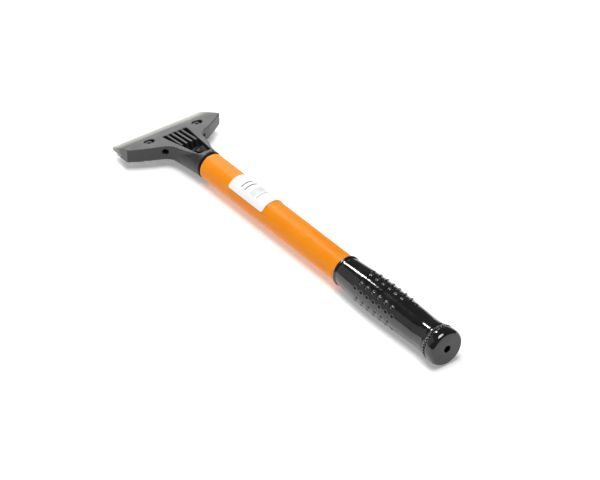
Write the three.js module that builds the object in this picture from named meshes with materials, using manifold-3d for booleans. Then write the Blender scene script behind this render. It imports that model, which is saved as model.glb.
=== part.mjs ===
// Floor scraper: a moulded head that clamps a wide two-edged blade, on a tube with a grip sleeve.
// Millimetres, +Z up, +X from the blade to the grip. The tool lies on its heel and on its grip.
// Everything is modelled from the head end of the tube, on the tube's axis, in the group `tool`.

import * as THREE from 'three';
import { mergeVertices } from 'three/addons/utils/BufferGeometryUtils.js';
import Module from 'manifold-3d';

const wasm = await Module();
wasm.setup();

// ---- Driving dimensions ---------------------------------------------------------------------

const CLEARANCE = 0.3; // between neighbouring pieces
const ROUND_SEGMENTS = 48; // facets around the tube and the grip
const SMALL_SEGMENTS = 24; // facets around screws, washers and small holes

const AXIS_HEIGHT = 16.5; // tube axis above the surface that the tool lies on
const HEAD_REACH = 87.6; // blade edge ahead of the tube's head end
const GRIP_END = 325.2; // end face of the grip behind the tube's head end

const TUBE_RADIUS = 12.7; // one-inch tube
const TUBE_WALL = 1.2;
const TUBE_END = 320.5;

const WING_FRONT = -84.6; // blunt front edge of the head
const WING_REAR = -58; // rear corners of the wings
const WING_HALF_FRONT = 48.6;
const WING_HALF_REAR = 50.5;
const RIDGE_X = -60;
const RIDGE_Z = 6;
const UNDERSIDE_Z = -7.1; // flat underside of the wings, the plane that the blade lies in
const FRONT_UPPER_Z = -5;
const LOWER_EDGE_CHAMFER = 2.5;
const NECK_END = -3;
const NECK_TOP_Z = 11.8; // flat top of the neck where it meets the collar
const COLLAR_FRONT = -7;
const COLLAR_RADIUS = 13.1;

const BLADE_WIDTH = 98;
const BLADE_DEPTH = 18.6;
const BLADE_THICKNESS = 0.6;
const BLADE_GRIND = 1.6; // width of each ground edge
const BLADE_OVERHANG = 3; // edge ahead of the head's front
const SEAT_DEPTH = 0.6; // pocket for the blade in the head's underside

const PLATE_FRONT = 4.6; // behind the head's front edge
const PLATE_REAR = 30.4;
const PLATE_HALF_LENGTH = 48.4;
const PLATE_THICKNESS = 2;

const SCREW_U = 25.6; // clamp screws, behind the head's front edge
const SCREW_Y = 26;
const SCREW_RADIUS = 2.5; // M5
const SCREW_HEAD_RADIUS = 4.2;
const SCREW_HOLE_RADIUS = SCREW_RADIUS + CLEARANCE;
const COUNTERBORE_RADIUS = 4.8;
const COUNTERBORE_FLOOR = 7.2; // above the underside
const WASHER_THICKNESS = 1.2;
const HEAD_HEIGHT = 2.3;
const SCREW_TIP = -6.4;
const NUT_SIZE = 8;
const NUT_HEIGHT = 2.7;

const RECESS_FRONT = -57;
const RECESS_REAR = -10;
const RECESS_HALF_FRONT = 13.1;
const RECESS_HALF_REAR = 6.3;
const RECESS_DEEP_REAR = -25; // the floor steps up over the spigot behind this
const RECESS_FLOOR_Z = -1.5;
const RECESS_SHELF_Z = 6;
const RIB_COUNT = 4;
const RIB_WIDTH = 2.3;
const RIB_PITCH = 5.1;
const RIB_END = -30.5;

const SPIGOT_RADIUS = TUBE_RADIUS - TUBE_WALL - CLEARANCE;
const SPIGOT_STUB_RADIUS = 4.3;
const SPIGOT_FRONT = -26;
const SPIGOT_REAR = 32;
const BOSS_X = -19.2; // boss for the grub screw that locks the spigot
const BOSS_RADIUS = 4;
const BOSS_TOP_Z = 8.4;
const BOSS_COUNTERBORE = 2.8;
const GRUB_SCREW_RADIUS = 2;
const GRUB_SCREW_TOP_Z = 7.8;
const GRUB_SCREW_TIP_Z = -1.5;
const RIVET_X = 14;
const RIVET_RADIUS = 1.6;
const RIVET_HEAD = 3.2;
const RIVET_TIP_Z = -5.2;

const LABEL_START = 41;
const LABEL_END = 90;
const LABEL_THICKNESS = 0.2;
const LABEL_FROM = THREE.MathUtils.degToRad(27); // around the tube from +Y towards +Z
const LABEL_TO = THREE.MathUtils.degToRad(153);
const LABEL_STEPS = 24;

const GRIP_START = 192;
const GRIP_HOLE_RADIUS = 3.2;

// ---- Geometry helpers -----------------------------------------------------------------------

function toSolid(geometry) {
  const bare = geometry.index ? geometry.toNonIndexed() : geometry.clone();
  bare.deleteAttribute('normal');
  bare.deleteAttribute('uv');
  const merged = mergeVertices(bare, 1e-4);
  return new wasm.Manifold(new wasm.Mesh({
    numProp: 3,
    vertProperties: new Float32Array(merged.attributes.position.array),
    triVerts: new Uint32Array(merged.index.array),
  }));
}

function toGeometry(solid) {
  const mesh = solid.getMesh();
  const geometry = new THREE.BufferGeometry();
  geometry.setAttribute('position', new THREE.BufferAttribute(new Float32Array(mesh.vertProperties), 3));
  geometry.setIndex(new THREE.BufferAttribute(new Uint32Array(mesh.triVerts), 1));
  geometry.computeVertexNormals();
  return geometry;
}

function shapeFrom(points) {
  return new THREE.Shape(points.map(([a, b]) => new THREE.Vector2(a, b)));
}

function extrude(shape, depth) {
  return new THREE.ExtrudeGeometry(shape, { depth, bevelEnabled: false, curveSegments: 12 });
}

// An outline in X and Y, raised from zLow to zHigh.
function plate(points, zLow, zHigh) {
  const geometry = extrude(shapeFrom(points), zHigh - zLow);
  geometry.translate(0, 0, zLow);
  return toSolid(geometry);
}

// A side profile in X and Z, as wide as 2 * halfWidth along Y.
function sideProfile(points, halfWidth) {
  const geometry = extrude(shapeFrom(points), 2 * halfWidth);
  geometry.translate(0, 0, -halfWidth);
  geometry.applyMatrix4(new THREE.Matrix4().makeBasis(
    new THREE.Vector3(1, 0, 0),
    new THREE.Vector3(0, 0, 1),
    new THREE.Vector3(0, -1, 0),
  ));
  return toSolid(geometry);
}

// A solid of revolution about Y from [radius, height] pairs that start and end on the axis,
// or that close on themselves. Heights run upward on the outside.
function lathe(profile, segments) {
  return new THREE.LatheGeometry(profile.map(([r, h]) => new THREE.Vector2(r, h)), segments);
}

function turnedAlongX(profile, segments = ROUND_SEGMENTS) {
  const geometry = lathe(profile, segments);
  geometry.rotateZ(-Math.PI / 2);
  return toSolid(geometry);
}

function turnedAlongZ(profile, segments = SMALL_SEGMENTS) {
  const geometry = lathe(profile, segments);
  geometry.rotateX(Math.PI / 2);
  return toSolid(geometry);
}

function rodAlongZ(radius, zLow, zHigh, segments = SMALL_SEGMENTS) {
  return turnedAlongZ([[0, zLow], [radius, zLow], [radius, zHigh], [0, zHigh]], segments);
}

function rodAlongX(radius, xLow, xHigh, segments = SMALL_SEGMENTS) {
  return turnedAlongX([[0, xLow], [radius, xLow], [radius, xHigh], [0, xHigh]], segments);
}

function box(xLow, xHigh, yLow, yHigh, zLow, zHigh) {
  return plate([[xLow, yLow], [xHigh, yLow], [xHigh, yHigh], [xLow, yHigh]], zLow, zHigh);
}

function mirrored(points) {
  return points.concat(points.slice().reverse().map(([x, y]) => [x, -y]));
}

// ---- Materials ------------------------------------------------------------------------------

function material(color, roughness, metalness) {
  return new THREE.MeshStandardMaterial({ color, roughness, metalness });
}

const moulding = () => material(0x1d1e20, 0.55, 0.0);
const orangePaint = () => material(0xf0730f, 0.25, 0.1);
const vinyl = () => material(0x0b0b0c, 0.2, 0.0);
const bladeSteel = () => material(0xb9b8ae, 0.3, 1.0);
const blackSteel = () => material(0x2a2b2d, 0.45, 0.8);
const zincSteel = () => material(0x9ba0a4, 0.4, 1.0);
const paper = () => material(0xf1f2f4, 0.7, 0.0);

// ---- Head -----------------------------------------------------------------------------------

function headTopZ(x) {
  return RIDGE_Z + (NECK_TOP_Z - RIDGE_Z) * (x - RIDGE_X) / (NECK_END - RIDGE_X);
}

// Half of the head's plan from the wing's rear corner to the neck, as one swept curve.
function rearSweep() {
  return new THREE.SplineCurve([
    new THREE.Vector2(WING_REAR, WING_HALF_REAR),
    new THREE.Vector2(-54.3, 45),
    new THREE.Vector2(-49.7, 37.5),
    new THREE.Vector2(-45.8, 30.5),
    new THREE.Vector2(-43.4, 25.4),
    new THREE.Vector2(-40.6, 20.3),
    new THREE.Vector2(-36, 16.4),
    new THREE.Vector2(-28, 14.2),
    new THREE.Vector2(-20, 12),
    new THREE.Vector2(-12, 9),
    new THREE.Vector2(-8, 6),
  ]);
}

function wing() {
  const profile = [
    [WING_FRONT, UNDERSIDE_Z],
    [-8, UNDERSIDE_Z],
    [-8, headTopZ(-8)],
    [RIDGE_X + 2.5, headTopZ(RIDGE_X + 2.5)],
    [RIDGE_X, RIDGE_Z - 0.25],
    [RIDGE_X - 1.6, RIDGE_Z - 0.85],
    [WING_FRONT, FRONT_UPPER_Z],
  ];
  // The plan runs past the front and the ends, so that only the rear edges get the chamfer.
  const ahead = WING_FRONT - 2 * LOWER_EDGE_CHAMFER;
  const beyond = WING_HALF_REAR + 10;
  const half = [[ahead, beyond], [WING_REAR - 8, beyond]];
  rearSweep().getPoints(27).forEach((point) => half.push([point.x, point.y]));
  const endY = (x) => THREE.MathUtils.mapLinear(
    x, WING_FRONT, WING_REAR, WING_HALF_FRONT, WING_HALF_REAR,
  );
  const ends = plate(
    mirrored([[ahead, endY(ahead)], [NECK_END, endY(NECK_END)]]), -AXIS_HEIGHT, AXIS_HEIGHT,
  );
  const plan = new THREE.ExtrudeGeometry(shapeFrom(mirrored(half)), {
    depth: 14,
    bevelThickness: LOWER_EDGE_CHAMFER,
    bevelSize: LOWER_EDGE_CHAMFER,
    bevelOffset: -LOWER_EDGE_CHAMFER,
    bevelSegments: 2,
  });
  plan.translate(0, 0, UNDERSIDE_Z + LOWER_EDGE_CHAMFER);
  return sideProfile(profile, beyond).intersect(toSolid(plan)).intersect(ends);
}

function neck() {
  const profile = [
    [0, -52.4], [5, -52.4], [9.2, -51], [12.4, -48.8], [14.9, -45.6], [15.9, -42],
    [15.5, -36.5], [14.4, -25.5], [13.6, -15.5], [13, COLLAR_FRONT - 1.2], [12.7, COLLAR_FRONT - 0.6],
    [12.7, COLLAR_FRONT], [COLLAR_RADIUS, COLLAR_FRONT + 0.4], [COLLAR_RADIUS, NECK_END - 0.5],
    [COLLAR_RADIUS - 0.5, NECK_END], [0, NECK_END],
  ];
  const heel = plate([[-50, -7.5], [-37, -5.4], [-37, 5.4], [-50, 7.5]], -AXIS_HEIGHT, -6);
  const roof = sideProfile([
    [-60, headTopZ(-60)], [-60, 30], [COLLAR_FRONT, 30], [COLLAR_FRONT, headTopZ(COLLAR_FRONT)],
  ], 30);
  return turnedAlongX(profile).add(heel).subtract(roof);
}

// The tapering pocket in the top: deep in front, where the ribs stand, and shallow over the
// spigot, where the boss for the grub screw stands.
function topRecess() {
  const halfAt = (x) => THREE.MathUtils.mapLinear(
    x, RECESS_FRONT, RECESS_REAR, RECESS_HALF_FRONT, RECESS_HALF_REAR,
  );
  const outline = (rear) => mirrored([[RECESS_FRONT, RECESS_HALF_FRONT], [rear, halfAt(rear)]]);
  const boss = rodAlongZ(BOSS_RADIUS, RECESS_SHELF_Z - 1, BOSS_TOP_Z).translate([BOSS_X, 0, 0]);
  let recess = plate(outline(RECESS_DEEP_REAR), RECESS_FLOOR_Z, 20)
    .add(plate(outline(RECESS_REAR), RECESS_SHELF_Z, 20))
    .subtract(boss);
  for (let i = 0; i < RIB_COUNT; i += 1) {
    const centre = (i - (RIB_COUNT - 1) / 2) * RIB_PITCH;
    const rib = sideProfile([
      [RECESS_FRONT - 1, RECESS_FLOOR_Z - 1],
      [RIB_END, RECESS_FLOOR_Z - 1],
      [RIB_END - 3, headTopZ(RIB_END) - 0.8],
      [RECESS_FRONT - 1, headTopZ(RECESS_FRONT) - 0.5],
    ], RIB_WIDTH / 2).translate([0, centre, 0]);
    recess = recess.subtract(rib);
  }
  return recess;
}

// The shallow oval dish on the front bevel.
function bevelDish() {
  const bevelAngle = Math.atan2(RIDGE_Z - FRONT_UPPER_Z, RIDGE_X - WING_FRONT);
  const geometry = new THREE.SphereGeometry(1, 32, 16);
  geometry.scale(4.2, 14, 1);
  geometry.rotateY(-bevelAngle);
  const middleX = -69.2;
  const middleZ = FRONT_UPPER_Z + Math.tan(bevelAngle) * (middleX - WING_FRONT);
  geometry.translate(middleX, 0, middleZ + 0.25);
  return toSolid(geometry);
}

function sideCoringHole(side) {
  return rodAlongZ(2.8, -5, 8)
    .rotate([-side * 90, 0, 0])
    .rotate([0, 0, -side * 32])
    .translate([-41.2, side * 20.8, 2.2]);
}

function screwPassage(side) {
  return rodAlongZ(SCREW_HOLE_RADIUS, -4, 14)
    .add(rodAlongZ(COUNTERBORE_RADIUS, COUNTERBORE_FLOOR, 18, 32))
    .translate([WING_FRONT + SCREW_U, side * SCREW_Y, UNDERSIDE_Z]);
}

function headBody() {
  const seatRear = WING_FRONT + BLADE_DEPTH - BLADE_OVERHANG + CLEARANCE;
  const seat = box(WING_FRONT - 5, seatRear, -60, 60, UNDERSIDE_Z - 5, UNDERSIDE_Z + SEAT_DEPTH);
  const grubScrewPassage = rodAlongZ(GRUB_SCREW_RADIUS + CLEARANCE, 0, 12)
    .add(rodAlongZ(BOSS_COUNTERBORE, BOSS_TOP_Z - 1.6, 16))
    .translate([BOSS_X, 0, 0]);
  let body = wing().add(neck())
    .subtract(topRecess())
    .subtract(bevelDish())
    .subtract(seat)
    .subtract(rodAlongX(SPIGOT_STUB_RADIUS + CLEARANCE, SPIGOT_FRONT - CLEARANCE, 1, 32))
    .subtract(grubScrewPassage);
  for (const side of [-1, 1]) {
    body = body.subtract(screwPassage(side)).subtract(sideCoringHole(side));
  }
  return body;
}

// ---- Blade clamp, built from the head's front edge and its underside ------------------------

function blade() {
  const front = -BLADE_OVERHANG;
  const rear = front + BLADE_DEPTH;
  const half = BLADE_THICKNESS / 2;
  const edge = 0.04;
  return sideProfile([
    [front, -edge], [front + BLADE_GRIND, -half], [rear - BLADE_GRIND, -half], [rear, -edge],
    [rear, edge], [rear - BLADE_GRIND, half], [front + BLADE_GRIND, half], [front, edge],
  ], BLADE_WIDTH / 2);
}

function clampPlate() {
  const top = -BLADE_THICKNESS / 2 - CLEARANCE;
  const bottom = top - PLATE_THICKNESS;
  const outline = mirrored([
    [PLATE_FRONT, PLATE_HALF_LENGTH - 1],
    [PLATE_FRONT + 1, PLATE_HALF_LENGTH],
    [PLATE_FRONT + 17, PLATE_HALF_LENGTH],
    [PLATE_FRONT + 19, PLATE_HALF_LENGTH - 1.6],
    [PLATE_REAR - 1, PLATE_HALF_LENGTH - 11],
    [PLATE_REAR, PLATE_HALF_LENGTH - 13],
  ]);
  const bevelled = sideProfile([
    [PLATE_FRONT, top], [PLATE_FRONT, top - 0.7], [PLATE_FRONT + 4, bottom],
    [PLATE_REAR, bottom], [PLATE_REAR, top],
  ], PLATE_HALF_LENGTH);
  let solid = plate(outline, bottom - 1, top + 1).intersect(bevelled);
  for (const side of [-1, 1]) {
    const hole = rodAlongZ(SCREW_HOLE_RADIUS, bottom - 1, top + 1);
    solid = solid.subtract(hole.translate([SCREW_U, side * SCREW_Y, 0]));
  }
  return solid;
}

function crossRecess(length, width, zLow, zHigh) {
  return box(-length / 2, length / 2, -width / 2, width / 2, zLow, zHigh)
    .add(box(-width / 2, width / 2, -length / 2, length / 2, zLow, zHigh));
}

function clampScrew() {
  const under = COUNTERBORE_FLOOR + WASHER_THICKNESS + 2 * CLEARANCE;
  const top = under + HEAD_HEIGHT;
  return turnedAlongZ([
    [0, SCREW_TIP], [SCREW_RADIUS - 0.6, SCREW_TIP], [SCREW_RADIUS, SCREW_TIP + 0.6],
    [SCREW_RADIUS, under], [SCREW_HEAD_RADIUS, under], [SCREW_HEAD_RADIUS, top - 1.1],
    [SCREW_HEAD_RADIUS - 0.5, top - 0.5], [SCREW_HEAD_RADIUS - 1.7, top - 0.1], [0, top],
  ]).subtract(crossRecess(5, 1, top - 1.3, top + 1));
}

function springWasher() {
  const low = COUNTERBORE_FLOOR + CLEARANCE;
  const ring = rodAlongZ(SCREW_HEAD_RADIUS, low, low + WASHER_THICKNESS)
    .subtract(rodAlongZ(SCREW_HOLE_RADIUS, low - 1, low + WASHER_THICKNESS + 1));
  return ring.subtract(box(2, 6, -0.5, 0.5, low - 1, low + WASHER_THICKNESS + 1));
}

function squareNut() {
  const top = -BLADE_THICKNESS / 2 - PLATE_THICKNESS - 2 * CLEARANCE;
  const half = NUT_SIZE / 2;
  return box(-half, half, -half, half, top - NUT_HEIGHT, top)
    .subtract(rodAlongZ(SCREW_HOLE_RADIUS, top - NUT_HEIGHT - 1, top + 1));
}

// ---- Neck and handle ------------------------------------------------------------------------

function neckSpigot() {
  const shoulder = NECK_END + CLEARANCE;
  const solid = turnedAlongX([
    [0, SPIGOT_FRONT], [SPIGOT_STUB_RADIUS - 0.8, SPIGOT_FRONT],
    [SPIGOT_STUB_RADIUS, SPIGOT_FRONT + 0.8], [SPIGOT_STUB_RADIUS, shoulder],
    [SPIGOT_RADIUS, shoulder], [SPIGOT_RADIUS, SPIGOT_REAR - 1.5],
    [SPIGOT_RADIUS - 1.5, SPIGOT_REAR], [0, SPIGOT_REAR],
  ]);
  const grubScrewHole = rodAlongZ(GRUB_SCREW_RADIUS + CLEARANCE, GRUB_SCREW_TIP_Z - CLEARANCE, 10);
  const rivetHole = rodAlongZ(RIVET_RADIUS + CLEARANCE, -14, RIVET_TIP_Z + CLEARANCE);
  return solid
    .subtract(grubScrewHole.translate([BOSS_X, 0, 0]))
    .subtract(rivetHole.translate([RIVET_X, 0, 0]));
}

function neckGrubScrew() {
  const hexSocket = rodAlongZ(1.15, GRUB_SCREW_TOP_Z - 1.8, GRUB_SCREW_TOP_Z + 1, 6);
  return turnedAlongZ([
    [0, GRUB_SCREW_TIP_Z], [GRUB_SCREW_RADIUS - 0.7, GRUB_SCREW_TIP_Z],
    [GRUB_SCREW_RADIUS, GRUB_SCREW_TIP_Z + 0.7], [GRUB_SCREW_RADIUS, GRUB_SCREW_TOP_Z - 0.3],
    [GRUB_SCREW_RADIUS - 0.3, GRUB_SCREW_TOP_Z], [0, GRUB_SCREW_TOP_Z],
  ]).subtract(hexSocket);
}

function handleTube() {
  const inner = TUBE_RADIUS - TUBE_WALL;
  return turnedAlongX([
    [inner, 0.2], [TUBE_RADIUS - 0.5, 0], [TUBE_RADIUS, 0.6],
    [TUBE_RADIUS, TUBE_END], [inner, TUBE_END], [inner, 0.2],
  ]).subtract(rodAlongZ(RIVET_RADIUS + CLEARANCE, -14, -8).translate([RIVET_X, 0, 0]));
}

function tubeRivet() {
  const seat = -TUBE_RADIUS - CLEARANCE;
  return turnedAlongZ([
    [0, seat - 1.3], [RIVET_HEAD - 1.2, seat - 1.1], [RIVET_HEAD, seat - 0.4], [RIVET_HEAD, seat],
    [RIVET_RADIUS, seat], [RIVET_RADIUS, RIVET_TIP_Z], [0, RIVET_TIP_Z],
  ]);
}

function label() {
  const inner = TUBE_RADIUS + CLEARANCE;
  const outer = inner + LABEL_THICKNESS;
  const arc = (radius) => {
    const points = [];
    for (let i = 0; i <= LABEL_STEPS; i += 1) {
      const angle = THREE.MathUtils.lerp(LABEL_FROM, LABEL_TO, i / LABEL_STEPS);
      points.push([radius * Math.cos(angle), radius * Math.sin(angle)]);
    }
    return points;
  };
  const geometry = extrude(shapeFrom(arc(outer).concat(arc(inner).reverse())), LABEL_END - LABEL_START);
  geometry.applyMatrix4(new THREE.Matrix4().makeBasis(
    new THREE.Vector3(0, 1, 0),
    new THREE.Vector3(0, 0, 1),
    new THREE.Vector3(1, 0, 0),
  ));
  geometry.translate(LABEL_START, 0, 0);
  return toSolid(geometry);
}

function gripSleeve() {
  const bore = TUBE_RADIUS + CLEARANCE;
  const boreEnd = TUBE_END + CLEARANCE;
  const outside = [
    [13.9, GRIP_START], [14.2, 192.6], [14.2, 194.2], [13.6, 195.2], [13.7, 198], [14.3, 208],
    [15, 220], [15.6, 232], [15.8, 242], [15.7, 252], [15.4, 264], [15, 276], [14.7, 288],
    [14.4, 298], [14.3, 301], [14.7, 305], [15.1, 309], [15.3, 311.6], [16.2, 312.4],
    [AXIS_HEIGHT, 313.6], [AXIS_HEIGHT, 321.4], [15.9, 323.4], [14.4, GRIP_END],
  ];
  const inside = [
    [GRIP_HOLE_RADIUS, GRIP_END], [GRIP_HOLE_RADIUS, boreEnd], [bore, boreEnd], [bore, GRIP_START],
    [13.9, GRIP_START],
  ];
  return turnedAlongX(outside.concat(inside));
}

// ---- Scene graph ----------------------------------------------------------------------------

function piece(name, solid, finish) {
  const mesh = new THREE.Mesh(toGeometry(solid), finish);
  mesh.name = name;
  return mesh;
}

const group = new THREE.Group();
const tool = new THREE.Group();
tool.position.set((HEAD_REACH - GRIP_END) / 2, 0, AXIS_HEIGHT);
group.add(tool);

tool.add(piece('head_body', headBody(), moulding()));
tool.add(piece('neck_spigot', neckSpigot(), blackSteel()));
tool.add(piece('handle_tube', handleTube(), orangePaint()));
tool.add(piece('grip_sleeve', gripSleeve(), vinyl()));
tool.add(piece('tube_label', label(), paper()));
tool.add(piece('tube_rivet', tubeRivet().translate([RIVET_X, 0, 0]), zincSteel()));
tool.add(piece('neck_grub_screw', neckGrubScrew().translate([BOSS_X, 0, 0]), blackSteel()));

const clamp = new THREE.Group();
clamp.position.set(WING_FRONT, 0, UNDERSIDE_Z);
tool.add(clamp);

clamp.add(piece('blade', blade(), bladeSteel()));
clamp.add(piece('clamp_plate', clampPlate(), blackSteel()));
for (const [name, side] of [['left', 1], ['right', -1]]) {
  const station = new THREE.Group();
  station.position.set(SCREW_U, side * SCREW_Y, 0);
  station.add(piece(`clamp_screw_${name}`, clampScrew(), blackSteel()));
  station.add(piece(`spring_washer_${name}`, springWasher(), blackSteel()));
  station.add(piece(`square_nut_${name}`, squareNut(), zincSteel()));
  clamp.add(station);
}

export default group;
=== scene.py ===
"""Looks for the floor scraper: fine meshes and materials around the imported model.

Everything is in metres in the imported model's frame: +X from the blade to the grip, +Z up.
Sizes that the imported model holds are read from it; the rest are named here, in millimetres.
"""

import math

import bmesh
import bpy
import numpy as np
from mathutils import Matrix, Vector


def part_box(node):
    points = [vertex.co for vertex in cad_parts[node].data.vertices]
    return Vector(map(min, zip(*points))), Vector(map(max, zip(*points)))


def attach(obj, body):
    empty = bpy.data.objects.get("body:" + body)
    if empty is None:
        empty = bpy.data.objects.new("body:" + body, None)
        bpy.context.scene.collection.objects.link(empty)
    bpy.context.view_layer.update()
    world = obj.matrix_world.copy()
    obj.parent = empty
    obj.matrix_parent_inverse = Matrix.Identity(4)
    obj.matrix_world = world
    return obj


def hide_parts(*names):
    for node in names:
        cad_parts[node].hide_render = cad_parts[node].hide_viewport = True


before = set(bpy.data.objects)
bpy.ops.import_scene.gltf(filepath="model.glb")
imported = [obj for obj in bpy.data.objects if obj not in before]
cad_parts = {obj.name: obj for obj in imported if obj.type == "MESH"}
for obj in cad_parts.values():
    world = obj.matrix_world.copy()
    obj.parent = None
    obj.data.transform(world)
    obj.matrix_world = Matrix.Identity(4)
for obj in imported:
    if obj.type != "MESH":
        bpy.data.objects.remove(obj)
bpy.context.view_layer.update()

MM = 0.001
CLEARANCE = 0.3 * MM

TUBE_LOW, TUBE_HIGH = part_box("handle_tube")
AXIS_Z = (TUBE_LOW.z + TUBE_HIGH.z) / 2
TUBE_RADIUS = (TUBE_HIGH.z - TUBE_LOW.z) / 2
TUBE_WALL = 1.2 * MM
HEAD_END = TUBE_LOW.x  # the tube's head end; places along the tool are counted from here

CAMERA_PLACE = (1.45126, -1.09115, 1.32549)
CAMERA_AZIMUTH = math.radians(52.862)
CAMERA_ELEVATION = math.radians(36.022)
CAMERA_LENS = 157.36

GRIP_BASE = (
    (192.0, 13.55), (195.6, 13.25), (198.0, 13.5), (204.0, 13.95), (210.0, 14.35), (216.0, 14.75),
    (222.0, 15.05), (230.0, 15.3), (240.0, 15.45), (250.0, 15.4), (262.0, 15.2), (276.0, 14.85),
    (288.0, 14.5), (296.0, 14.2), (300.0, 14.2), (304.0, 14.5), (307.0, 14.8), (309.0, 15.1),
    (311.0, 15.0),
)  # distance from the tube's head end and radius, without bead, nubs and flange
NUB_ROWS = (
    (-7, 226, 6), (20, 222, 7), (47.5, 226, 6), (93, 226, 6), (115.5, 222, 8), (140, 226, 6),
    (165, 222, 8), (190, 226, 6), (215, 222, 8), (285, 222, 8), (309, 226, 6), (332, 222, 7),
)  # angle from -Y towards +Z, place of the first nub and number of nubs
NUB_PITCH = 8.05
NUB_RADIUS = 1.5
NUB_CURVATURE = 2.0  # radius of the nubs' domes
BEADS = 34  # in the ring on the end flange
BEAD_X = 313.6
GRIP_HOLE_RADIUS = 3.2  # centre hole in the end face


# The head's top and its recess, from the tube's head end and from the tube's axis.
RIDGE_X = -60.0
RIDGE_Z = 6.0
NECK_END = -3.0
NECK_TOP_Z = 11.8
RECESS_FRONT = -57.0
RECESS_REAR = -10.0
RECESS_HALF_FRONT = 13.1
RECESS_HALF_REAR = 6.3
RECESS_FLOOR_Z = -1.5

SCREW_RADIUS = 2.5 * MM
SCREW_HEAD_HEIGHT = 2.3 * MM
SCREW_PITCH = 0.8 * MM


# ---- Mesh helpers ---------------------------------------------------------------------------


def link(name, mesh, smooth=True):
    for polygon in mesh.polygons:
        polygon.use_smooth = smooth
    piece = bpy.data.objects.new(name, mesh)
    bpy.context.scene.collection.objects.link(piece)
    return piece


def outward(mesh):
    work = bmesh.new()
    work.from_mesh(mesh)
    bmesh.ops.recalc_face_normals(work, faces=work.faces)
    if work.calc_volume(signed=True) < 0:
        bmesh.ops.reverse_faces(work, faces=work.faces)
    work.to_mesh(mesh)
    work.free()
    mesh.update()


def mesh_from(name, points, faces):
    mesh = bpy.data.meshes.new(name)
    mesh.from_pydata([tuple(p) for p in points], [], [tuple(f) for f in faces])
    mesh.validate()
    outward(mesh)
    return mesh


def ring_mesh(name, rings, close=False):
    """A closed body from rings of points. Open stacks are capped with a fan at each end."""
    rings = np.asarray(rings, float)
    rows, around, _ = rings.shape
    points = list(rings.reshape(-1, 3))
    faces = []
    for i in range(rows if close else rows - 1):
        j = (i + 1) % rows
        for k in range(around):
            n = (k + 1) % around
            faces.append((i * around + k, j * around + k, j * around + n, i * around + n))
    if not close:
        for row in (0, rows - 1):
            points.append(rings[row].mean(0))
            centre = len(points) - 1
            for k in range(around):
                faces.append((row * around + k, row * around + (k + 1) % around, centre))
    return mesh_from(name, points, faces)


def filleted(corners, steps=5, closed=False):
    """A polyline from (a, b, radius) corners, each rounded by an arc of its radius."""
    count = len(corners)
    path = []
    for i, (a, b, radius) in enumerate(corners):
        here = Vector((a, b))
        if radius <= 0 or (not closed and i in (0, count - 1)):
            path.append((a, b))
            continue
        before = Vector(corners[i - 1][:2]) - here
        after = Vector(corners[(i + 1) % count][:2]) - here
        half = before.angle(after) / 2
        reach = min(radius / math.tan(half), 0.49 * before.length, 0.49 * after.length)
        start = here + before.normalized() * reach
        end = here + after.normalized() * reach
        for step in range(steps + 1):
            t = step / steps
            point = start * (1 - t) ** 2 + here * 2 * t * (1 - t) + end * t ** 2
            path.append((point.x, point.y))
    return path


def circle_x(x, radius, around, centre=(0.0, AXIS_Z)):
    """A ring about an axis along X; angles run from -Y towards +Z."""
    angles = np.arange(around) * 2 * math.pi / around
    radius = np.broadcast_to(radius, angles.shape)
    return np.stack(
        [np.full(around, x), centre[0] - radius * np.cos(angles), centre[1] + radius * np.sin(angles)],
        1,
    )


def circle_z(z, radius, around, centre):
    angles = np.arange(around) * 2 * math.pi / around
    radius = np.broadcast_to(radius, angles.shape)
    return np.stack(
        [centre[0] + radius * np.cos(angles), centre[1] + radius * np.sin(angles), np.full(around, z)],
        1,
    )


def applied(piece, *modifiers):
    """The piece with its modifiers worked into its mesh."""
    for kind, settings in modifiers:
        modifier = piece.modifiers.new(kind.lower(), kind)
        for key, value in settings.items():
            setattr(modifier, key, value)
    graph = bpy.context.evaluated_depsgraph_get()
    mesh = bpy.data.meshes.new_from_object(piece.evaluated_get(graph))
    piece.modifiers.clear()
    piece.data = mesh
    return piece


def cut(piece, cutter_mesh):
    """The piece with the cutter's shape taken away."""
    cutter = link("cutter", cutter_mesh)
    applied(piece, ("BOOLEAN", {"operation": "DIFFERENCE", "solver": "EXACT", "object": cutter}))
    bpy.data.objects.remove(cutter)
    return piece


def smooth_by_angle(piece, degrees=35):
    """Smooth shading that keeps edges sharper than the angle."""
    mesh = piece.data
    limit = math.radians(degrees)
    work = bmesh.new()
    work.from_mesh(mesh)
    for edge in work.edges:
        edge.smooth = len(edge.link_faces) != 2 or edge.calc_face_angle(0) < limit
    work.to_mesh(mesh)
    work.free()
    for polygon in mesh.polygons:
        polygon.use_smooth = True
    return piece


def rounded_copy(name, node, voxel, rounds):
    """The CAD node's shape with its edges rounded, as moulded or tumbled parts have them."""
    piece = link(name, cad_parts[node].data.copy())
    return applied(
        piece,
        ("REMESH", {"mode": "VOXEL", "voxel_size": voxel, "adaptivity": 0.0, "use_smooth_shade": True}),
        ("SMOOTH", {"factor": 0.5, "iterations": rounds}),
    )


def finish_piece(piece, body, slot, material, *nodes):
    piece.data.materials.clear()
    piece.data.materials.append(material)
    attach(piece, body)
    if nodes:
        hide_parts(*nodes)
    return piece


# ---- Material helpers -----------------------------------------------------------------------


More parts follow.
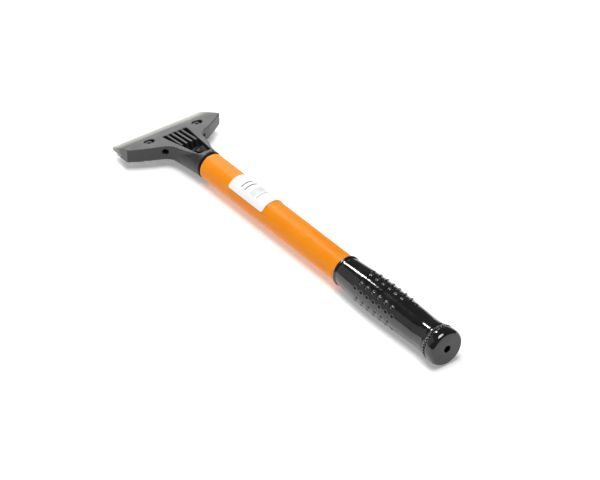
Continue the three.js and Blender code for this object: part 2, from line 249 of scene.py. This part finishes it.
class Nodes:
    """A node material under construction."""

    def __init__(self, name):
        self.material = bpy.data.materials.new(name)
        self.material.use_nodes = True
        self.tree = self.material.node_tree
        self.shader = self.tree.nodes["Principled BSDF"]
        self.place = self.add("ShaderNodeTexCoord").outputs["Object"]

    def add(self, kind, inputs=None, **settings):
        node = self.tree.nodes.new(kind)
        for key, value in settings.items():
            setattr(node, key, value)
        for key, value in (inputs or {}).items():
            self.put(node.inputs[key], value)
        return node

    def put(self, socket, value):
        if isinstance(value, bpy.types.NodeSocket):
            self.tree.links.new(value, socket)
        else:
            socket.default_value = value

    def set(self, **values):
        for key, value in values.items():
            self.put(self.shader.inputs[key.replace("_", " ")], value)

    def stretched(self, scale):
        return self.add("ShaderNodeMapping", {"Vector": self.place, "Scale": scale}).outputs[0]

    def noise(self, scale, detail=3.0, roughness=0.55, vector=None, distortion=0.0):
        inputs = {
            "Vector": vector or self.place,
            "Scale": scale,
            "Detail": detail,
            "Roughness": roughness,
            "Distortion": distortion,
        }
        return self.add("ShaderNodeTexNoise", inputs).outputs["Fac"]

    def spread(self, value, low, high, to_low=0.0, to_high=1.0, kind="SMOOTHSTEP"):
        inputs = {0: value, 1: low, 2: high, 3: to_low, 4: to_high}
        return self.add("ShaderNodeMapRange", inputs, interpolation_type=kind).outputs[0]

    def maths(self, operation, a, b=0.0, c=0.0):
        return self.add("ShaderNodeMath", {0: a, 1: b, 2: c}, operation=operation).outputs[0]

    def mix(self, factor, a, b):
        node = self.add("ShaderNodeMix", data_type="RGBA")
        for index, value in ((0, factor), (6, a), (7, b)):
            colour = index > 0 and not isinstance(value, bpy.types.NodeSocket)
            self.put(node.inputs[index], (*value, 1.0) if colour else value)
        return node.outputs[2]

    def bump(self, height, depth, below=None):
        node = self.add("ShaderNodeBump", {"Height": height, "Distance": depth})
        if below is not None:
            self.put(node.inputs["Normal"], below)
        return node.outputs[0]

    def edges(self, low=0.51, high=0.58):
        """1 on worn convex edges, broken up by noise."""
        pointed = self.spread(self.add("ShaderNodeNewGeometry").outputs["Pointiness"], low, high)
        patches = self.spread(self.noise(180, 5), 0.42, 0.62)
        return self.maths("MULTIPLY", pointed, patches)

    def scratches(self, along, scale=900, share=0.03):
        """Thin marks that run along one axis."""
        squeeze = [0.02 if axis == along else 1.0 for axis in "XYZ"]
        lines = self.noise(scale, 2, vector=self.stretched(squeeze), distortion=0.4)
        return self.spread(lines, 0.70 - share, 0.76)

    def axis(self, name):
        return self.add("ShaderNodeSeparateXYZ", {0: self.place}).outputs[name]


# ---- Materials ------------------------------------------------------------------------------


def head_moulding():
    m = Nodes("head_moulding")
    cloud = m.noise(45, 5)
    grain = m.noise(2400, 3)
    x = m.maths("DIVIDE", m.maths("SUBTRACT", m.axis("X"), HEAD_END), MM)
    y = m.maths("DIVIDE", m.maths("ABSOLUTE", m.axis("Y")), MM)
    z = m.maths("DIVIDE", m.maths("SUBTRACT", m.axis("Z"), AXIS_Z), MM)
    # The recess in the top gets painted shade (a darker colour) and is rougher, and the front bevel is
    # paler.
    top = m.spread(x, RIDGE_X, NECK_END, RIDGE_Z, NECK_TOP_Z, "LINEAR")
    side = m.spread(x, RECESS_FRONT, RECESS_REAR, RECESS_HALF_FRONT, RECESS_HALF_REAR, "LINEAR")
    recess = m.spread(m.maths("SUBTRACT", top, z), 0.9, 1.5)
    recess = m.maths("MULTIPLY", recess, m.maths("LESS_THAN", y, m.maths("ADD", side, 0.3)))
    recess = m.maths("MULTIPLY", recess, m.maths("COMPARE", x, -33.5, 24.0))
    recess = m.maths("MULTIPLY", recess, m.maths("GREATER_THAN", z, RECESS_FLOOR_Z - 0.7))
    bevel = m.spread(x, -84.0, -68.0, 1.0, 0.0)
    bevel = m.maths("MULTIPLY", bevel, m.maths("GREATER_THAN", z, -5.6))
    bevel = m.maths("MULTIPLY", bevel, m.spread(m.noise(60, 4), 0.2, 0.5, 0.7, 1.0))
    colour = m.mix(m.spread(cloud, 0.35, 0.65), (0.010, 0.010, 0.011), (0.017, 0.017, 0.018))
    colour = m.mix(m.maths("MULTIPLY", m.edges(), 0.5), colour, (0.11, 0.11, 0.108))
    colour = m.mix(m.maths("MULTIPLY", m.scratches("Y"), 0.25), colour, (0.10, 0.10, 0.10))
    colour = m.mix(bevel, colour, (0.36, 0.345, 0.31))
    # painted shade: the recess and the boss in it are darkened, standing in for the shade that falls
    # there
    colour = m.mix(recess, colour, (0.005, 0.005, 0.006))
    rough = m.spread(cloud, 0.3, 0.7, 0.36, 0.46)
    rough = m.maths("ADD", rough, m.spread(grain, 0.3, 0.7, -0.03, 0.04))
    rough = m.maths("ADD", rough, m.maths("MULTIPLY", recess, 0.4))
    normal = m.bump(grain, 0.00003)
    normal = m.bump(m.noise(120, 3), 0.00012, normal)
    m.set(Base_Color=colour, Roughness=rough, Normal=normal, Specular_IOR_Level=0.6)
    return m.material


def orange_coat():
    m = Nodes("orange_coat")
    cloud = m.noise(22, 4)
    peel = m.noise(650, 2, 0.4)
    colour = m.mix(m.spread(cloud, 0.3, 0.7), (0.80, 0.235, 0.002), (0.86, 0.265, 0.004))
    scuff = m.maths("MULTIPLY", m.scratches("X", 500, 0.02), m.spread(m.noise(35, 4), 0.5, 0.65))
    colour = m.mix(m.maths("MULTIPLY", scuff, 0.35), colour, (0.86, 0.46, 0.20))
    colour = m.mix(m.maths("MULTIPLY", m.edges(0.53, 0.62), 0.6), colour, (0.55, 0.33, 0.20))
    rough = m.spread(cloud, 0.3, 0.7, 0.38, 0.46)
    rough = m.maths("ADD", rough, m.maths("MULTIPLY", scuff, 0.15))
    normal = m.bump(peel, 0.00006)
    normal = m.bump(m.noise(90, 2), 0.00010, normal)
    m.set(Base_Color=colour, Roughness=rough, Normal=normal)
    m.set(Specular_IOR_Level=0.16)
    return m.material


def black_vinyl(end_face_x):
    m = Nodes("black_vinyl")
    cloud = m.noise(60, 4)
    end = m.spread(m.axis("X"), end_face_x - 0.35 * MM, end_face_x - 0.1 * MM)
    colour = m.mix(m.spread(cloud, 0.35, 0.65), (0.003, 0.003, 0.0035), (0.006, 0.006, 0.0065))
    colour = m.mix(end, colour, (0.014, 0.014, 0.016))
    dust = m.maths("MULTIPLY", m.spread(m.noise(1500, 2), 0.68, 0.75), m.spread(cloud, 0.5, 0.7))
    colour = m.mix(m.maths("MULTIPLY", dust, 0.25), colour, (0.12, 0.12, 0.11))
    rough = m.spread(cloud, 0.3, 0.7, 0.07, 0.13)
    rough = m.maths("ADD", rough, m.maths("MULTIPLY", end, 0.42))
    normal = m.bump(m.noise(110, 2), 0.00022)
    normal = m.bump(m.noise(1800, 3), 0.000008, normal)
    m.set(Base_Color=colour, Roughness=rough, Normal=normal, Specular_IOR_Level=0.85)
    return m.material


def label_paper():
    m = Nodes("label_paper")
    x = m.maths("DIVIDE", m.maths("SUBTRACT", m.axis("X"), HEAD_END), MM)
    up = m.maths("SUBTRACT", m.axis("Z"), AXIS_Z)
    side = m.maths("MULTIPLY", m.axis("Y"), -1.0)
    angle = m.maths("MULTIPLY", m.maths("ARCTAN2", up, side), 180 / math.pi)

    def bar(x_middle, half_width, from_angle, to_angle):
        middle = (from_angle + to_angle) / 2
        across = m.maths("COMPARE", x, x_middle, half_width)
        along = m.maths("COMPARE", angle, middle, (to_angle - from_angle) / 2)
        return m.maths("MULTIPLY", across, along)

    ink = m.maths("MAXIMUM", bar(54.2, 0.6, 59, 113), bar(59.5, 0.6, 58, 116))
    stripes = m.spread(m.maths("PINGPONG", x, 0.6), 0.15, 0.45)
    block = m.maths("MULTIPLY", bar(69.5, 3.4, 58, 121), stripes)
    ink = m.maths("MAXIMUM", ink, m.maths("MULTIPLY", block, 0.45))
    ink = m.maths("MAXIMUM", ink, m.maths("MULTIPLY", bar(75.7, 0.55, 60, 113), 0.6))
    ink = m.maths("MULTIPLY", ink, m.spread(m.noise(700, 3), 0.3, 0.5, 0.75, 1.0))
    fibre = m.noise(1600, 4)
    colour = m.mix(m.spread(fibre, 0.3, 0.7), (0.80, 0.81, 0.83), (0.86, 0.87, 0.88))
    colour = m.mix(ink, colour, (0.02, 0.02, 0.025))
    rough = m.spread(fibre, 0.3, 0.7, 0.42, 0.55)
    normal = m.bump(fibre, 0.00001)
    normal = m.bump(m.noise(150, 2), 0.00006, normal)
    m.set(Base_Color=colour, Roughness=rough, Normal=normal)
    return m.material


def blade_steel():
    m = Nodes("blade_steel")
    grind = m.noise(2600, 3, vector=m.stretched((0.08, 1.0, 1.0)))
    haze = m.noise(40, 4)
    colour = m.mix(m.spread(grind, 0.3, 0.7), (0.57, 0.555, 0.515), (0.62, 0.605, 0.56))
    colour = m.mix(m.maths("MULTIPLY", m.spread(haze, 0.5, 0.7), 0.3), colour, (0.50, 0.42, 0.30))
    rough = m.spread(grind, 0.3, 0.7, 0.30, 0.36)
    m.set(Base_Color=colour, Metallic=1.0, Roughness=rough, Normal=m.bump(grind, 0.000002))
    return m.material


def black_steel():
    m = Nodes("black_steel")
    cloud = m.noise(150, 4)
    colour = m.mix(m.spread(cloud, 0.35, 0.65), (0.022, 0.022, 0.025), (0.040, 0.038, 0.036))
    colour = m.mix(m.edges(0.52, 0.60), colour, (0.28, 0.27, 0.26))
    rough = m.spread(m.noise(600, 3), 0.3, 0.7, 0.28, 0.42)
    normal = m.bump(m.noise(1400, 3), 0.00002)
    m.set(Base_Color=colour, Metallic=0.7, Roughness=rough, Normal=normal)
    return m.material


def zinc_steel():
    m = Nodes("zinc_steel")
    spangle = m.add("ShaderNodeTexVoronoi", {"Vector": m.place, "Scale": 900.0}).outputs["Distance"]
    cloud = m.noise(260, 4)
    colour = m.mix(m.spread(cloud, 0.35, 0.65), (0.46, 0.47, 0.48), (0.60, 0.60, 0.59))
    colour = m.mix(m.maths("MULTIPLY", m.spread(spangle, 0.2, 0.7), 0.2), colour, (0.38, 0.39, 0.41))
    rough = m.spread(cloud, 0.3, 0.7, 0.26, 0.42)
    m.set(Base_Color=colour, Metallic=1.0, Roughness=rough, Normal=m.bump(spangle, 0.00001))
    return m.material


# ---- Head, tube, grip and label -------------------------------------------------------------


def head_shell(material):
    piece = rounded_copy("head_shell", "head_body", 0.36 * MM, 5)
    finish_piece(piece, "handle_and_head", "head_moulding", material, "head_body")


def tube(material):
    inner = TUBE_RADIUS - TUBE_WALL
    corners = [
        (TUBE_LOW.x, inner, 0.3 * MM),
        (TUBE_LOW.x, TUBE_RADIUS, 0.8 * MM),
        (TUBE_HIGH.x, TUBE_RADIUS, 0.4 * MM),
        (TUBE_HIGH.x, inner, 0.3 * MM),
    ]
    path = filleted(corners, closed=True)
    rings = [circle_x(x, r, 144) for x, r in path]
    piece = link("orange_tube", ring_mesh("orange_tube", rings, True))
    low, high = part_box("tube_rivet")
    middle = ((low.x + high.x) / 2, 0.0)
    rings = [circle_z(z, 1.9 * MM, 48, middle) for z in (-4 * MM, AXIS_Z - inner / 2)]
    cut(piece, ring_mesh("rivet_hole", rings))
    smooth_by_angle(piece)
    finish_piece(piece, "handle_and_head", "orange_coat", material, "handle_tube")


def smooth_profile(x):
    """The grip's base radius at x, both in millimetres, through GRIP_BASE without corners."""
    places = np.array([p[0] for p in GRIP_BASE])
    radii = np.array([p[1] for p in GRIP_BASE])
    slopes = np.gradient(radii, places)
    i = np.clip(np.searchsorted(places, x) - 1, 0, len(places) - 2)
    width = places[i + 1] - places[i]
    t = np.clip((x - places[i]) / width, 0, 1)
    return (
        (1 + 2 * t) * (1 - t) ** 2 * radii[i]
        + t * (1 - t) ** 2 * width * slopes[i]
        + t ** 2 * (3 - 2 * t) * radii[i + 1]
        + t ** 2 * (t - 1) * width * slopes[i + 1]
    )


def nub_height(x, angle, radius):
    """Height of the nubs and of the shallow dimples around them, in millimetres."""
    height = np.zeros_like(angle)
    foot = math.sqrt(NUB_CURVATURE ** 2 - NUB_RADIUS ** 2)
    for degrees, first, count in NUB_ROWS:
        nearest = first + NUB_PITCH * np.clip(np.round((x - first) / NUB_PITCH), 0, count - 1)
        turn = (angle - math.radians(degrees) + math.pi) % (2 * math.pi) - math.pi
        distance = np.hypot(x - nearest, radius * turn)
        dome = np.sqrt(np.clip(NUB_CURVATURE ** 2 - distance ** 2, 0, None)) - foot
        dimple = -0.16 * np.exp(-((distance - 2.1) / 0.5) ** 2)
        height += np.maximum(dome, 0) + dimple
    return height


def grip_radius(x, angles):
    radius = np.full_like(angles, float(smooth_profile(np.array(x))))
    radius += nub_height(x, angles, radius)
    bead = 1 - ((x - 193.5) / 1.5) ** 2
    if bead > 0:
        radius = np.maximum(radius, 13.2 + 1.0 * math.sqrt(bead))
    return radius


def flange(x, angles):
    """Radius of the end flange, which carries a ring of beads along its front."""
    profile = np.array([
        (311.0, 15.0), (312.0, 15.2), (313.6, 15.4), (315.1, 15.45), (315.7, 15.9), (316.6, 16.3),
        (318.0, 16.45), (320.5, 16.45), (322.3, 16.3), (323.8, 15.8), (324.7, 15.1), (325.0, 14.6),
    ])
    radius = np.full_like(angles, np.interp(x, profile[:, 0], profile[:, 1]))
    along = (x - BEAD_X) / 1.35
    around = ((angles * BEADS / (2 * math.pi)) % 1 - 0.5) / 0.42
    return radius + 1.05 * np.sqrt(np.clip(1 - along ** 2 - around ** 2, 0, 1))


def grip(material):
    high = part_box("grip_sleeve")[1]
    around = 280
    angles = np.arange(around) * 2 * math.pi / around
    places = np.concatenate([
        np.arange(192.0, 197.0, 0.35), np.arange(197.0, 218.0, 0.9), np.arange(218.0, 286.0, 0.34),
        np.arange(286.0, 311.0, 0.9), np.arange(311.0, 317.0, 0.25), np.arange(317.0, 325.01, 0.4),
    ])
    bore = (TUBE_RADIUS + CLEARANCE) / MM
    tube_end = (TUBE_HIGH.x - HEAD_END + CLEARANCE) / MM
    end = (high.x - HEAD_END) / MM
    rings = []
    for x in places:
        radius = flange(x, angles) if x > 311 else grip_radius(x, angles)
        rings.append((x, radius))
    rings[0] = (192.0, np.full(around, 13.35))
    face = [
        (325.0, 14.6, 0), (end, 14.3, 0.25), (end, GRIP_HOLE_RADIUS, 0.4),
        (tube_end, GRIP_HOLE_RADIUS, 0),
    ]
    for x, radius in filleted(face):
        rings.append((x, np.full(around, radius)))
    rings.append((tube_end, np.full(around, bore)))
    rings.append((192.0, np.full(around, bore)))
    stack = [circle_x(HEAD_END + x * MM, radius * MM, around) for x, radius in rings]
    piece = smooth_by_angle(link("vinyl_grip", ring_mesh("vinyl_grip", stack, True)), 50)
    finish_piece(piece, "handle_and_head", "black_vinyl", material, "grip_sleeve")


def label(material):
    """A thin strip of paper wrapped over the tube, with round corners."""
    low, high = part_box("tube_label")
    inner = TUBE_RADIUS + CLEARANCE
    outer = inner + 0.16 * MM
    first, last = math.radians(27.3), math.radians(152.7)
    length = high.x - low.x
    width = (last - first) * inner
    corner = 2.2 * MM
    columns = 60
    rows = 64
    points = []
    for i in range(columns + 1):
        # The corner columns are packed closer, so that the corners come out round.
        t = 0.5 - 0.5 * math.cos(math.pi * i / columns)
        x = low.x + 0.1 * MM + t * (length - 0.2 * MM)
        inset = max(0.0, corner - min(x - low.x, high.x - x))
        trim = corner - math.sqrt(max(0.0, corner ** 2 - inset ** 2))
        for j in range(rows + 1):
            angle = first + (trim + (width - 2 * trim) * j / rows) / inner
            for radius in (inner, outer):
                points.append((x, -radius * math.cos(angle), AXIS_Z + radius * math.sin(angle)))

    def at(i, j, layer):
        return (i * (rows + 1) + j) * 2 + layer

    faces = []
    for i in range(columns):
        for j in range(rows):
            for layer in (0, 1):
                faces.append([
                    at(i, j, layer), at(i + 1, j, layer),
                    at(i + 1, j + 1, layer), at(i, j + 1, layer),
                ])
    for i in range(columns):
        for j in (0, rows):
            faces.append([at(i, j, 0), at(i + 1, j, 0), at(i + 1, j, 1), at(i, j, 1)])
    for j in range(rows):
        for i in (0, columns):
            faces.append([at(i, j, 0), at(i, j + 1, 0), at(i, j + 1, 1), at(i, j, 1)])
    piece = smooth_by_angle(link("paper_label", mesh_from("paper_label", points, faces)))
    finish_piece(piece, "handle_and_head", "label_paper", material, "tube_label")


# ---- Blade and clamp ------------------------------------------------------------------------


def blade_piece(material):
    """A two-edged blade with ground bevels, a honed edge and slightly rounded corners."""
    low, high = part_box("blade")
    middle = (low.z + high.z) / 2
    half = (high.z - low.z) / 2
    profile = [(0.0, 0.06), (0.35, 0.30), (1.6, 0.94), (1.9, 1.0)]
    depth = (high.x - low.x) / MM
    top = [(u, t) for u, t in profile] + [(depth - u, t) for u, t in reversed(profile)]
    section = [(u, t * half) for u, t in top] + [(u, -t * half) for u, t in reversed(top)]
    corner = 0.6 * MM
    rings = []
    for t in (0.0, 0.25, 0.5, 0.75, 1.0):
        inset = corner * (1 - math.sqrt(1 - (1 - t) ** 2))
        rings.append((low.y + corner * t, inset))
    rings += [(low.y + f * (high.y - low.y), 0.0) for f in (0.25, 0.5, 0.75)]
    rings += [(low.y + high.y - y, inset) for y, inset in reversed(rings[:5])]
    stack = []
    for y, inset in rings:
        squeeze = 1 - 2 * inset / (high.x - low.x)
        centre = (low.x + high.x) / 2
        stack.append([
            (centre + (low.x + u * MM - centre) * squeeze, y, middle + z) for u, z in section
        ])
    piece = smooth_by_angle(link("scraper_blade", ring_mesh("scraper_blade", stack)), 12)
    finish_piece(piece, "blade", "blade_steel", material, "blade")


def clamp_plate(material):
    piece = rounded_copy("clamping_plate", "clamp_plate", 0.26 * MM, 3)
    finish_piece(piece, "clamp", "black_steel", material, "clamp_plate")


def threaded_rings(bottom, top, radius, depth, pitch, centre, around, tip):
    """Rings of a threaded shank from bottom to top, with a bevelled tip."""
    rings = []
    angles = np.arange(around) * 2 * math.pi / around
    count = max(4, round((top - bottom) / (pitch / 8)))
    for i in range(count + 1):
        z = bottom + (top - bottom) * i / count
        phase = (z / pitch - angles / (2 * math.pi)) % 1
        groove = depth * np.clip(1.25 - 2.5 * np.abs(phase - 0.5), 0, 1)
        fade = min(1.0, (top - z) / pitch)
        limit = radius - max(0.0, tip - (z - bottom))
        rings.append(circle_z(z, np.minimum(radius - groove * fade, limit), around, centre))
    return rings


def driver_slot(centre, top, reach, width, depth, turned):
    """One arm of a tapered cross recess, to cut from a screw head."""
    rings = []
    for z, scale in ((top + 0.5 * MM, 1.0), (top - depth, 0.45)):
        ring = []
        for a, b in ((-1, -1), (1, -1), (1, 1), (-1, 1)):
            along, across = a * reach * scale, b * width / 2
            dx, dy = (-across, along) if turned else (along, across)
            ring.append((centre[0] + dx, centre[1] + dy, z))
        rings.append(ring)
    return ring_mesh("driver_slot", rings)


def clamp_screw(side, material):
    node = f"clamp_screw_{side}"
    low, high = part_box(node)
    centre = ((low.x + high.x) / 2, (low.y + high.y) / 2)
    head = (high.x - low.x) / 2
    under = high.z - SCREW_HEAD_HEIGHT
    around = 72
    shank = SCREW_RADIUS
    rings = threaded_rings(
        low.z, under - 0.4 * MM, shank, 0.43 * MM, SCREW_PITCH, centre, around, 0.7 * MM,
    )
    dome = filleted([
        (shank, under, 0), (head, under, 0.25 * MM), (head, high.z - 1.1 * MM, 0.9 * MM),
        (head - 1.0 * MM, high.z - 0.15 * MM, 1.2 * MM), (0.4 * MM, high.z, 0),
    ], 6)
    rings += [circle_z(z, r, around, centre) for r, z in dome]
    piece = link(f"pan_screw_{side}", ring_mesh(node, rings))
    for turned in (False, True):
        cut(piece, driver_slot(centre, high.z, 2.5 * MM, 1.0 * MM, 1.5 * MM, turned))
    smooth_by_angle(piece, 40)
    finish_piece(piece, node, "black_steel", material, node)


def spring_washer(side, material):
    """A split ring whose ends stand apart by a small step."""
    node = f"spring_washer_{side}"
    low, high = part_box(node)
    centre = ((low.x + high.x) / 2, (low.y + high.y) / 2)
    outer = (high.y - low.y) / 2
    inner = 2.8 * MM
    step = 0.3 * MM
    rings = []
    turns = 64
    for i in range(turns + 1):
        t = i / turns
        angle = math.radians(12) + t * math.radians(336)
        lift = step * t
        section = filleted([
            (inner, low.z + lift, 0.15 * MM), (outer, low.z + lift, 0.15 * MM),
            (outer, high.z - step + lift, 0.15 * MM), (inner, high.z - step + lift, 0.15 * MM),
        ], 2, closed=True)
        rings.append([
            (centre[0] + r * math.cos(angle), centre[1] + r * math.sin(angle), z) for r, z in section
        ])
    piece = smooth_by_angle(link(f"split_washer_{side}", ring_mesh(node, rings)), 40)
    finish_piece(piece, "handle_and_head", "black_steel", material, node)


def square_nut(side, material):
    """A pressed square nut: round-cornered, crowned below, with a threaded hole."""
    node = f"square_nut_{side}"
    low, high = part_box(node)
    centre = ((low.x + high.x) / 2, (low.y + high.y) / 2)
    half = (high.x - low.x) / 2
    around = 96
    angles = np.arange(around) * 2 * math.pi / around
    edge = half / np.maximum(np.abs(np.cos(angles)), np.abs(np.sin(angles)))
    edge = np.minimum(edge, 1.32 * half)
    bore = 2.6 * MM

    def level(z, radius):
        return circle_z(z, radius, around, centre)

    crown = 1.12 * half
    rings = [
        level(high.z, bore + 0.35 * MM),
        level(high.z, edge - 0.15 * MM),
        level(high.z - 0.15 * MM, edge),
    ]
    for drop in (0.0, 0.35, 0.7, 1.0):
        cap = crown + (1.32 * half - crown) * (1 - drop)
        z = low.z + 0.55 * MM * (1 - drop)
        rings.append(level(z, np.minimum(edge, cap)))
    rings.append(level(low.z, bore + 0.35 * MM))
    rings += threaded_rings(
        low.z + 0.35 * MM, high.z - 0.35 * MM, bore + 0.35 * MM, 0.35 * MM,
        SCREW_PITCH, centre, around, 0.0,
    )
    piece = smooth_by_angle(link(f"steel_nut_{side}", ring_mesh(node, rings, True)), 30)
    finish_piece(piece, "clamp", "zinc_steel", material, node)


# ---- Neck fasteners -------------------------------------------------------------------------


def spigot(material):
    piece = rounded_copy("steel_spigot", "neck_spigot", 0.35 * MM, 2)
    finish_piece(piece, "handle_and_head", "black_steel", material, "neck_spigot")


def grub_screw(material):
    low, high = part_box("neck_grub_screw")
    centre = ((low.x + high.x) / 2, (low.y + high.y) / 2)
    around = 60
    radius = (high.x - low.x) / 2
    rings = threaded_rings(
        low.z, high.z - 0.4 * MM, radius, 0.33 * MM, 0.7 * MM, centre, around, 0.7 * MM,
    )
    rings.append(circle_z(high.z - 0.25 * MM, radius - 0.1 * MM, around, centre))
    rings.append(circle_z(high.z, radius - 0.4 * MM, around, centre))
    piece = link("hex_grub_screw", ring_mesh("hex_grub_screw", rings))
    socket = [circle_z(z, 1.15 * MM, 6, centre) for z in (high.z - 1.8 * MM, high.z + 1 * MM)]
    cut(piece, ring_mesh("socket", socket))
    smooth_by_angle(piece, 40)
    finish_piece(piece, "handle_and_head", "black_steel", material, "neck_grub_screw")


def rivet(material):
    low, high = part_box("tube_rivet")
    centre = ((low.x + high.x) / 2, (low.y + high.y) / 2)
    head = (high.x - low.x) / 2
    seat = AXIS_Z - TUBE_RADIUS - CLEARANCE
    path = filleted([
        (0.3 * MM, low.z, 0), (head - 0.9 * MM, low.z + 0.1 * MM, 0.8 * MM),
        (head, seat - 0.45 * MM, 0.4 * MM), (head, seat, 0.1 * MM), (1.6 * MM, seat, 0.1 * MM),
        (1.6 * MM, high.z, 0.4 * MM), (0.3 * MM, high.z, 0),
    ])
    rings = [circle_z(z, r, 60, centre) for r, z in path]
    piece = link("domed_rivet", ring_mesh("domed_rivet", rings))
    smooth_by_angle(piece, 40)
    finish_piece(piece, "handle_and_head", "zinc_steel", material, "tube_rivet")


# ---- Stage ----------------------------------------------------------------------------------


def floor():
    m = Nodes("pale_floor")
    colour = m.mix(m.noise(3, 3), (0.90, 0.90, 0.90), (0.93, 0.93, 0.93))
    m.set(Base_Color=colour, Roughness=0.9, Specular_IOR_Level=0.1)
    m.set(Emission_Color=(1, 1, 1, 1), Emission_Strength=0.3)
    size = 6.0
    points = [(-size, -size, 0), (size, -size, 0), (size, size, 0), (-size, size, 0)]
    mesh = bpy.data.meshes.new("floor")
    mesh.from_pydata(points, [], [(0, 1, 2, 3)])
    piece = link("floor", mesh, smooth=False)
    piece.location.z = -0.0002
    mesh.materials.append(m.material)


def area_light(name, place, target, width, height, watts, colour=(1.0, 1.0, 1.0)):
    lamp = bpy.data.lights.new(name, "AREA")
    lamp.shape = "RECTANGLE"
    lamp.size = width
    lamp.size_y = height
    lamp.energy = watts
    lamp.color = colour
    holder = bpy.data.objects.new(name, lamp)
    holder.location = place
    holder.rotation_euler = (Vector(target) - Vector(place)).to_track_quat("-Z", "Y").to_euler()
    holder.visible_camera = False
    bpy.context.scene.collection.objects.link(holder)


def stage():
    floor()
    world = bpy.data.worlds.new("studio")
    world.use_nodes = True
    background = world.node_tree.nodes["Background"]
    background.inputs["Color"].default_value = (1.0, 1.0, 1.0, 1.0)
    background.inputs["Strength"].default_value = 0.12
    bpy.context.scene.world = world
    area_light("overhead", (0.2, -0.15, 1.2), (0, 0, 0), 0.6, 0.6, 12)
    area_light("head_glow", (-0.44, 0.17, 0.18), (-0.18, 0, 0.02), 0.26, 0.22, 0.55)
    area_light("side_soft", (-0.9, -0.75, 0.5), (0.05, 0, 0.02), 1.2, 0.9, 1.2)
    area_light("streak", (-0.62, 0.035, 0.70), (0.1, 0, 0.03), 0.10, 0.24, 3)
    bpy.context.scene.view_settings.view_transform = "Standard"


def camera():
    data = bpy.data.cameras.new("camera")
    data.sensor_fit = "HORIZONTAL"
    data.sensor_width = 36.0
    data.lens = CAMERA_LENS
    holder = bpy.data.objects.new("camera", data)
    holder.location = CAMERA_PLACE
    holder.rotation_euler = (math.pi / 2 - CAMERA_ELEVATION, 0.0, CAMERA_AZIMUTH)
    bpy.context.scene.collection.objects.link(holder)
    bpy.context.scene.camera = holder


camera()
stage()

moulding = head_moulding()
dark = black_steel()
zinc = zinc_steel()
head_shell(moulding)
tube(orange_coat())
grip(black_vinyl(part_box("grip_sleeve")[1].x))
label(label_paper())
blade_piece(blade_steel())
clamp_plate(dark)
spigot(dark)
grub_screw(dark)
rivet(zinc)
for side in ("left", "right"):
    clamp_screw(side, dark)
    spring_washer(side, dark)
    square_nut(side, zinc)
